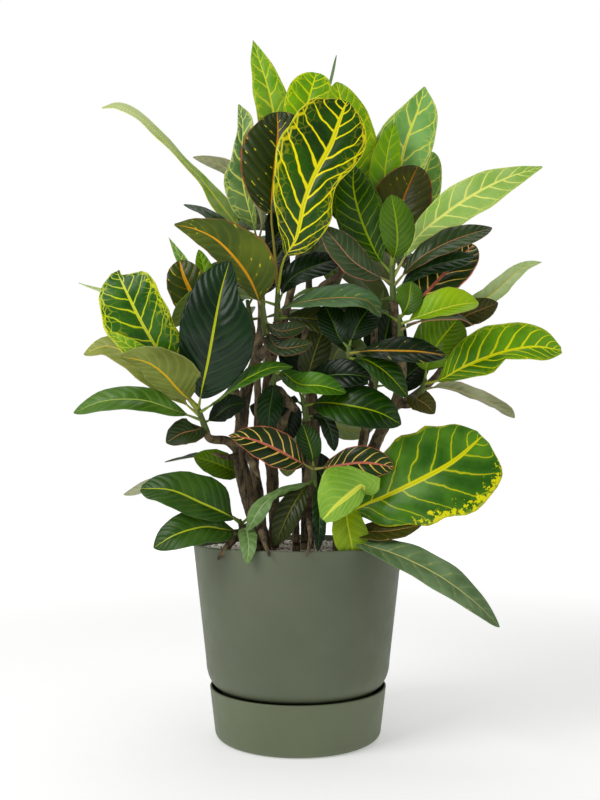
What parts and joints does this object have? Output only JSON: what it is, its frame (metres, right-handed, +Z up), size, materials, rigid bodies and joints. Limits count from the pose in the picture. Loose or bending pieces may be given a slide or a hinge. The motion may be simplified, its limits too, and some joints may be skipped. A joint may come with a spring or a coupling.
{
  "type": "potted plant",
  "caption": "Bushy croton house plant with stiff yellow-veined leaves on woody stems, growing in a tapered round pot that stands in a deep saucer.",
  "frame": {"origin": "centre of the saucer's flat underside", "axes": "+Z up; the pictured front looks along -Y; +X is to the right in the front view"},
  "size_m": [0.5626, 0.3894, 0.8353],
  "materials": {
    "saucer_plastic": "matte",
    "pot_plastic": "matte",
    "soil": "rough",
    "gravel": "rough",
    "bark": "rough",
    "leaf": "glossy"
  },
  "bodies": {
    "root": {"saucer": "saucer_plastic", "pot": "pot_plastic", "soil": "soil", "gravel": "gravel", "stem_left": "bark", "stem_middle": "bark", "stem_pale": "bark", "stem_dark": "bark", "stem_right": "bark", "stem_low_right": "bark", "stem_low_left": "bark", "stem_rear_left": "bark", "stem_rear": "bark", "stem_rear_right": "bark", "leaves_crown_front": "leaf", "leaves_crown_left": "leaf", "leaves_crown_right": "leaf", "leaves_side_right": "leaf", "leaves_centre_right": "leaf", "leaves_right": "leaf", "leaves_left": "leaf", "leaves_low_left": "leaf", "leaves_centre": "leaf", "leaves_centre_low": "leaf", "leaves_low_right": "leaf", "leaves_top": "leaf", "leaves_upper_left": "leaf", "leaves_side_left": "leaf", "leaves_low_back_left": "leaf", "leaves_upper_middle": "leaf", "leaves_back_right": "leaf", "leaves_middle_left": "leaf", "leaves_rear_left": "leaf", "leaves_rear_right": "leaf", "leaves_rear_top": "leaf", "leaves_rear_upper_left": "leaf", "leaves_rear_upper_right": "leaf", "leaves_rear_low": "leaf"}
  },
  "joints": []
}
